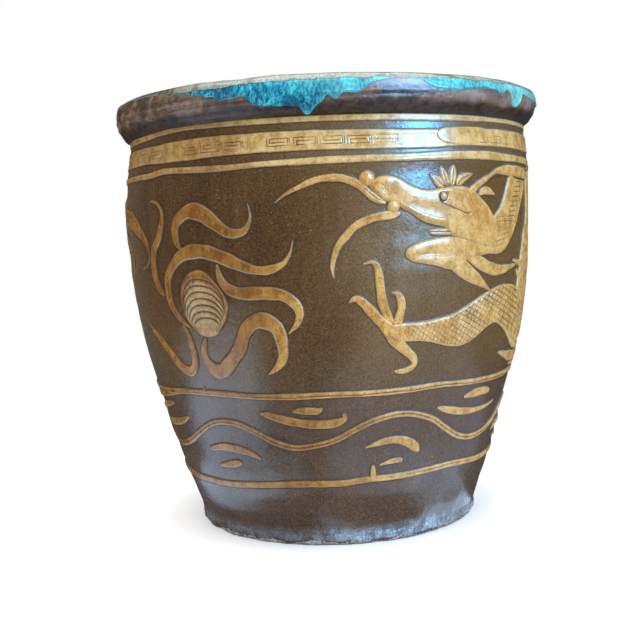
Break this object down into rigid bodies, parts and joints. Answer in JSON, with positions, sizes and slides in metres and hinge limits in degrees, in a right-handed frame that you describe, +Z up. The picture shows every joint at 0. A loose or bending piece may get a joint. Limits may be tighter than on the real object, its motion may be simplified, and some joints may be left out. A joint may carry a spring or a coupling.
{
  "type": "storage jar",
  "caption": "Large glazed stoneware storage jar with a wide rolled mouth and applied clay dragon, flaming pearl, meander and wave ornament; holds water, grain or preserves.",
  "frame": {"origin": "centre of the underside, on the surface the jar stands on", "axes": "+Z up along the jar's axis of turning; the front, with the pearl and the dragon's head, faces -Y"},
  "size_m": [0.487, 0.4882, 0.482],
  "materials": {
    "stoneware": "bare fired stoneware, rough and gritty",
    "brown_glaze": "glossy olive-brown glaze with dark and rust-coloured streaks",
    "ochre_glaze": "glossy amber to straw-coloured glaze, darker in the grooves",
    "turquoise_glaze": "thick glassy turquoise glaze that has run, mottled with deep blue"
  },
  "bodies": {
    "root": {"base_slab": "stoneware", "lower_wall": "brown_glaze", "middle_wall": "brown_glaze", "upper_wall": "brown_glaze", "rolled_rim": "brown_glaze", "turquoise_glaze_runs": "turquoise_glaze", "neck_fillet_upper": "ochre_glaze", "meander_band": "ochre_glaze", "neck_fillet_lower": "ochre_glaze", "waterline_upper": "ochre_glaze", "waterline_lower": "ochre_glaze", "wave_line": "ochre_glaze", "wave_dashes_upper": "ochre_glaze", "wave_dashes_lower": "ochre_glaze", "pearl": "ochre_glaze", "flame_crown": "ochre_glaze", "flame_arc": "ochre_glaze", "flame_middle": "ochre_glaze", "flame_arch": "ochre_glaze", "flame_hook": "ochre_glaze", "flame_snake": "ochre_glaze", "dragon_skull": "ochre_glaze", "dragon_jaw": "ochre_glaze", "dragon_beard": "ochre_glaze", "dragon_tongue": "ochre_glaze", "dragon_nose_ball": "ochre_glaze", "dragon_chin_knob": "ochre_glaze", "dragon_eye": "ochre_glaze", "dragon_ear": "ochre_glaze", "dragon_antler": "ochre_glaze", "dragon_crest": "ochre_glaze", "whisker_upper": "ochre_glaze", "whisker_lower": "ochre_glaze", "dragon_neck": "ochre_glaze", "dragon_body": "ochre_glaze", "dragon_dorsal_fins": "ochre_glaze", "dragon_shoulder_wisps": "ochre_glaze", "tail_tuft": "ochre_glaze", "foreleg_near": "ochre_glaze", "foreleg_near_claws": "ochre_glaze", "foreleg_far": "ochre_glaze", "foreleg_far_claws": "ochre_glaze", "hindleg_near": "ochre_glaze", "hindleg_near_claws": "ochre_glaze", "hindleg_far": "ochre_glaze", "hindleg_far_claws": "ochre_glaze", "rear_flames": "ochre_glaze", "cloud_wisps": "ochre_glaze"}
  },
  "joints": []
}
